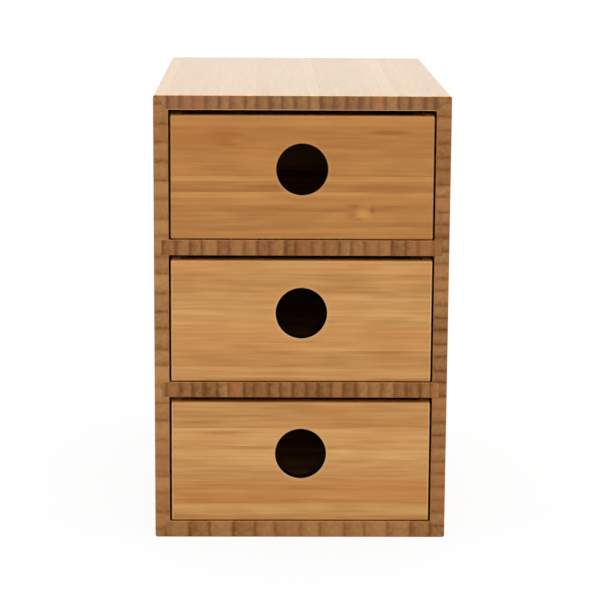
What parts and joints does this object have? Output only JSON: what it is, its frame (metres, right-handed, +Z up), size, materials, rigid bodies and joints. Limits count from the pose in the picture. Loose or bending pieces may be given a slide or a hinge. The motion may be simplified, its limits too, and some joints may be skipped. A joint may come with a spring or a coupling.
{
  "type": "desktop mini drawers",
  "caption": "Freestanding desktop drawer organizer in laminated bamboo: a mitred case with housed shelves and inset pull-out drawers, each with a round finger hole in its front.",
  "frame": {"origin": "middle of the footprint, on the surface that the case stands on", "axes": "+Z up, -Y the way the drawers open, +X to the right seen from the front; the depth along Y is the longest extent and the width along X the shortest"},
  "size_m": [0.15, 0.24, 0.2295],
  "materials": {
    "case_bamboo": "satin lacquered laminated bamboo, darker brown end grain on the board edges",
    "front_bamboo": "satin lacquered laminated bamboo, grain across the width",
    "box_bamboo": "matt sealed laminated bamboo",
    "base_bamboo": "matt sealed bamboo plywood",
    "back_bamboo": "satin lacquered bamboo plywood"
  },
  "bodies": {
    "case": {"top_panel": "case_bamboo", "bottom_panel": "case_bamboo", "left_side": "case_bamboo", "right_side": "case_bamboo", "lower_shelf": "case_bamboo", "upper_shelf": "case_bamboo", "back_panel": "back_bamboo"},
    "lower_drawer": {"lower_drawer_front": "front_bamboo", "lower_drawer_left_side": "box_bamboo", "lower_drawer_right_side": "box_bamboo", "lower_drawer_back": "box_bamboo", "lower_drawer_base": "base_bamboo"},
    "middle_drawer": {"middle_drawer_front": "front_bamboo", "middle_drawer_left_side": "box_bamboo", "middle_drawer_right_side": "box_bamboo", "middle_drawer_back": "box_bamboo", "middle_drawer_base": "base_bamboo"},
    "upper_drawer": {"upper_drawer_front": "front_bamboo", "upper_drawer_left_side": "box_bamboo", "upper_drawer_right_side": "box_bamboo", "upper_drawer_back": "box_bamboo", "upper_drawer_base": "base_bamboo"}
  },
  "joints": [
    {"name": "lower_drawer_slide", "type": "slide", "parent": "case", "child": "lower_drawer", "axis": [0, -1, 0], "range_m": [0, 0.18]},
    {"name": "middle_drawer_slide", "type": "slide", "parent": "case", "child": "middle_drawer", "axis": [0, -1, 0], "range_m": [0, 0.18]},
    {"name": "upper_drawer_slide", "type": "slide", "parent": "case", "child": "upper_drawer", "axis": [0, -1, 0], "range_m": [0, 0.18]}
  ]
}
